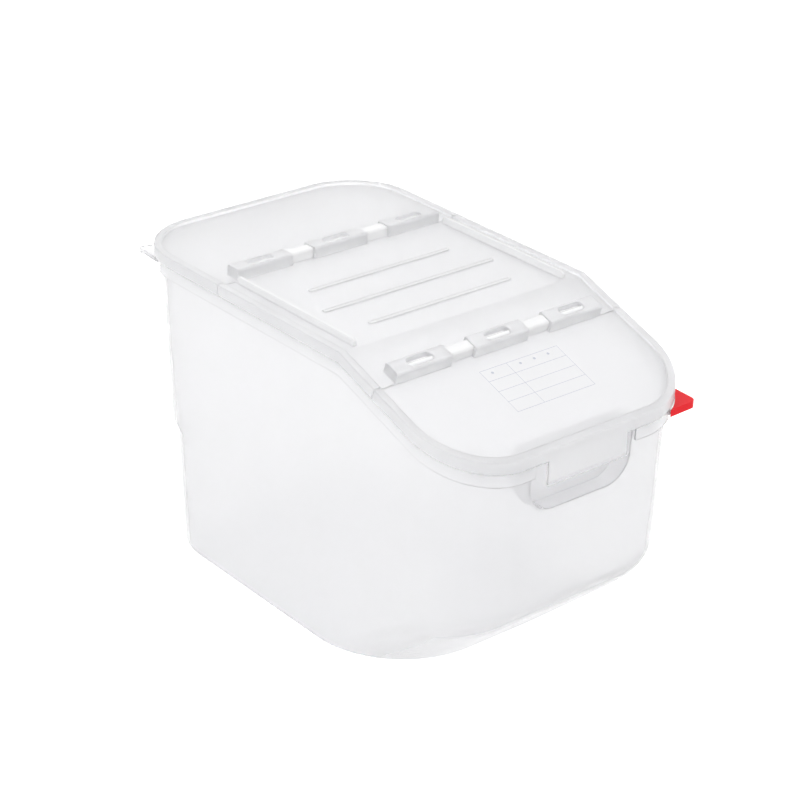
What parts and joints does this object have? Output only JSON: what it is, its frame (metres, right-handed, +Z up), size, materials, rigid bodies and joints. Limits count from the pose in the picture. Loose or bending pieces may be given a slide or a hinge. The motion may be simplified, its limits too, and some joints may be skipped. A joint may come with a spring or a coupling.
{
  "type": "rice bin with flip lid",
  "caption": "Clear ingredient bin with a sloped front, a lid in hinged parts that flips open for scooping, and a red colour clip at the corner.",
  "frame": {"origin": "middle of the base, on the ground", "axes": "+Z up, -Y towards the sloped front with the flap, X across the bin"},
  "size_m": [0.325, 0.5639, 0.364],
  "materials": {
    "clear_body": "translucent natural polypropylene, satin",
    "clear_lid": "translucent natural polypropylene, satin",
    "clear_rod": "natural polypropylene, glossy",
    "red_clip": "red moulded plastic"
  },
  "bodies": {
    "tub": {"bin_body": "clear_body"},
    "lid": {"rear_lid": "clear_lid", "rear_hinge_rod": "clear_rod"},
    "middle": {"middle_lid": "clear_lid", "front_hinge_rod": "clear_rod"},
    "flap": {"front_flap": "clear_lid"},
    "clip": {"colour_clip": "red_clip"}
  },
  "joints": [
    {"name": "lid_lift", "type": "slide", "parent": "tub", "child": "lid", "axis": [0, 0, 1], "range_m": [0, 0.08]},
    {"name": "rear_hinge", "type": "hinge", "parent": "lid", "child": "middle", "pos_m": [0, 0.122, 0.359], "axis": [-1, 0, 0], "range_deg": [0, 100]},
    {"name": "front_hinge", "type": "hinge", "parent": "middle", "child": "flap", "pos_m": [0, -0.14115, 0.34293], "axis": [-1, 0, 0], "range_deg": [0, 180]},
    {"name": "clip_slide", "type": "slide", "parent": "tub", "child": "clip", "axis": [0.7071, -0.7071, 0], "range_m": [0, 0.03]}
  ]
}
